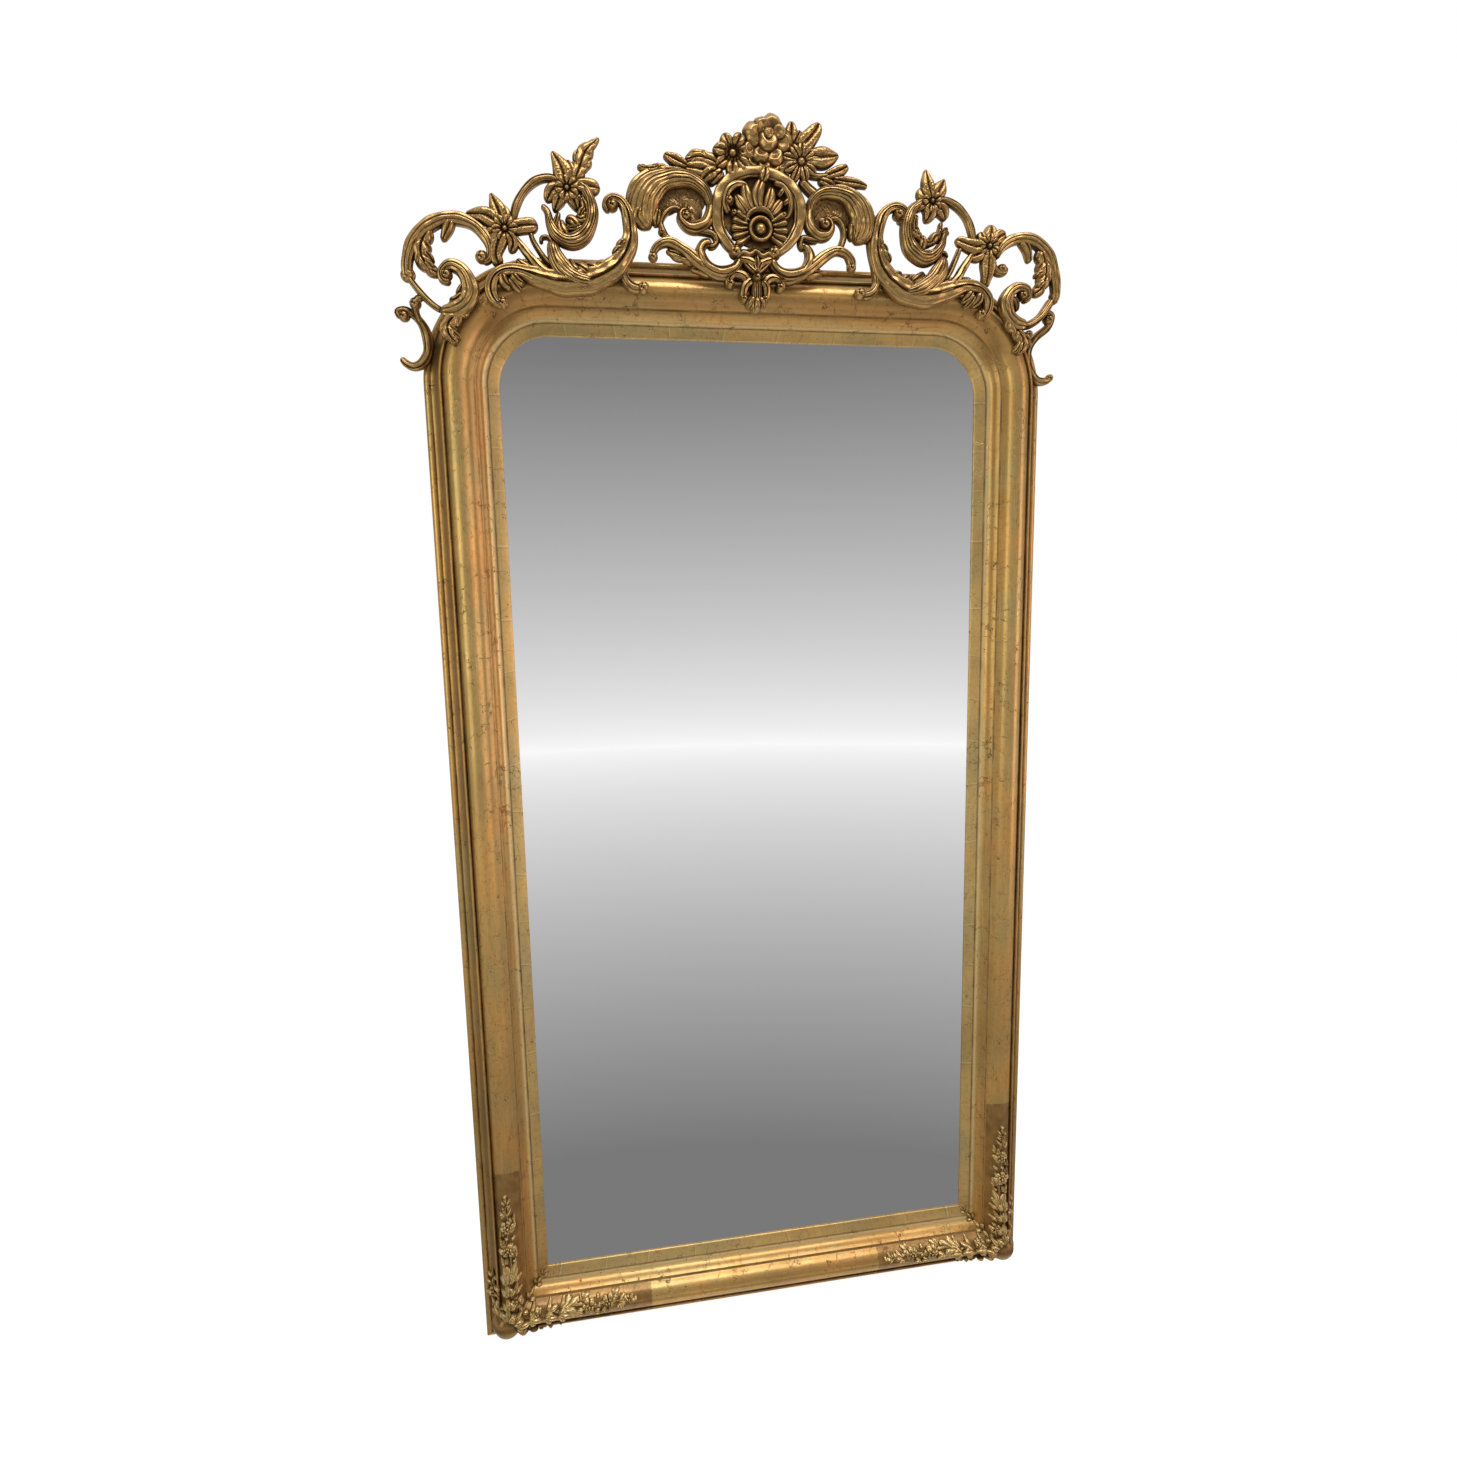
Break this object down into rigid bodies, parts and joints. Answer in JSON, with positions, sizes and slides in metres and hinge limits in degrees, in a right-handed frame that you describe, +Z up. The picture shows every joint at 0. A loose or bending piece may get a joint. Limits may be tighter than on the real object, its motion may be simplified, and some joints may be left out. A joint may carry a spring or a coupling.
{
  "type": "trumeau mirror",
  "caption": "Tall gilded wall mirror with rounded top corners, a broad moulding, a bevelled slip, a pierced crest of scrolls, leaves and flowers, and pressed leaves on the bottom corners.",
  "frame": {"origin": "on the plane of the frame's flat back, in the middle of its width, 40 mm above the frame's bottom edge", "axes": "+X to the right as seen from the front, +Y back towards the wall, +Z up"},
  "size_m": [1.0015, 0.1115, 1.8936],
  "materials": {
    "gilding": "worn water-gilded leaf over gesso and red bole, on pine",
    "crest_gilding": "carved wood under darker antique gold, brown in the hollows",
    "composition": "pressed composition, gilded and toned dark ochre",
    "silvering": "silvered glass plate",
    "pine": "raw planed pine, darkened by age",
    "iron": "dark forged iron, slightly rusty"
  },
  "bodies": {
    "frame": {"stile_left": "gilding", "stile_right": "gilding", "corner_block_left": "gilding", "corner_block_right": "gilding", "top_rail": "gilding", "bottom_rail": "gilding", "slip_left": "gilding", "slip_right": "gilding", "slip_corner_left": "gilding", "slip_corner_right": "gilding", "slip_top": "gilding", "slip_bottom": "gilding", "mirror_glass": "silvering", "glass_strip_left": "pine", "glass_strip_right": "pine", "back_board_1": "pine", "back_board_2": "pine", "back_board_3": "pine", "hanging_plate_left": "iron", "hanging_plate_right": "iron", "cartouche_ring": "crest_gilding", "wing_left": "crest_gilding", "wing_right": "crest_gilding", "acanthus_left": "crest_gilding", "acanthus_right": "crest_gilding", "lower_scroll_left": "crest_gilding", "lower_scroll_right": "crest_gilding", "branch_left": "crest_gilding", "branch_right": "crest_gilding", "pendant": "crest_gilding", "ring_scroll_left": "crest_gilding", "ring_scroll_right": "crest_gilding", "corner_scroll_left": "crest_gilding", "corner_scroll_right": "crest_gilding", "small_scroll_left": "crest_gilding", "small_scroll_right": "crest_gilding", "tail_left": "crest_gilding", "tail_right": "crest_gilding", "cabochon": "crest_gilding", "shell": "crest_gilding", "cartouche_panel": "crest_gilding", "spray_left": "crest_gilding", "spray_right": "crest_gilding", "daisy_left": "crest_gilding", "daisy_right": "crest_gilding", "rose": "crest_gilding", "upper_flower_left": "crest_gilding", "upper_flower_right": "crest_gilding", "lower_flower_left": "crest_gilding", "lower_flower_right": "crest_gilding", "corner_ornament_left": "composition", "corner_ornament_right": "composition", "stile_spray_left": "composition", "stile_spray_right": "composition", "rail_spray_left": "composition", "rail_spray_right": "composition", "crest_strap": "iron"},
    "ring_left": {"hanging_ring_left": "iron"},
    "ring_right": {"hanging_ring_right": "iron"}
  },
  "joints": [
    {"name": "ring_left_swing", "type": "hinge", "parent": "frame", "child": "ring_left", "pos_m": [-0.436, 0.0047, 1.36], "axis": [1, 0, 0], "range_deg": [0, 180]},
    {"name": "ring_right_swing", "type": "hinge", "parent": "frame", "child": "ring_right", "pos_m": [0.436, 0.0047, 1.36], "axis": [1, 0, 0], "range_deg": [0, 180]}
  ]
}
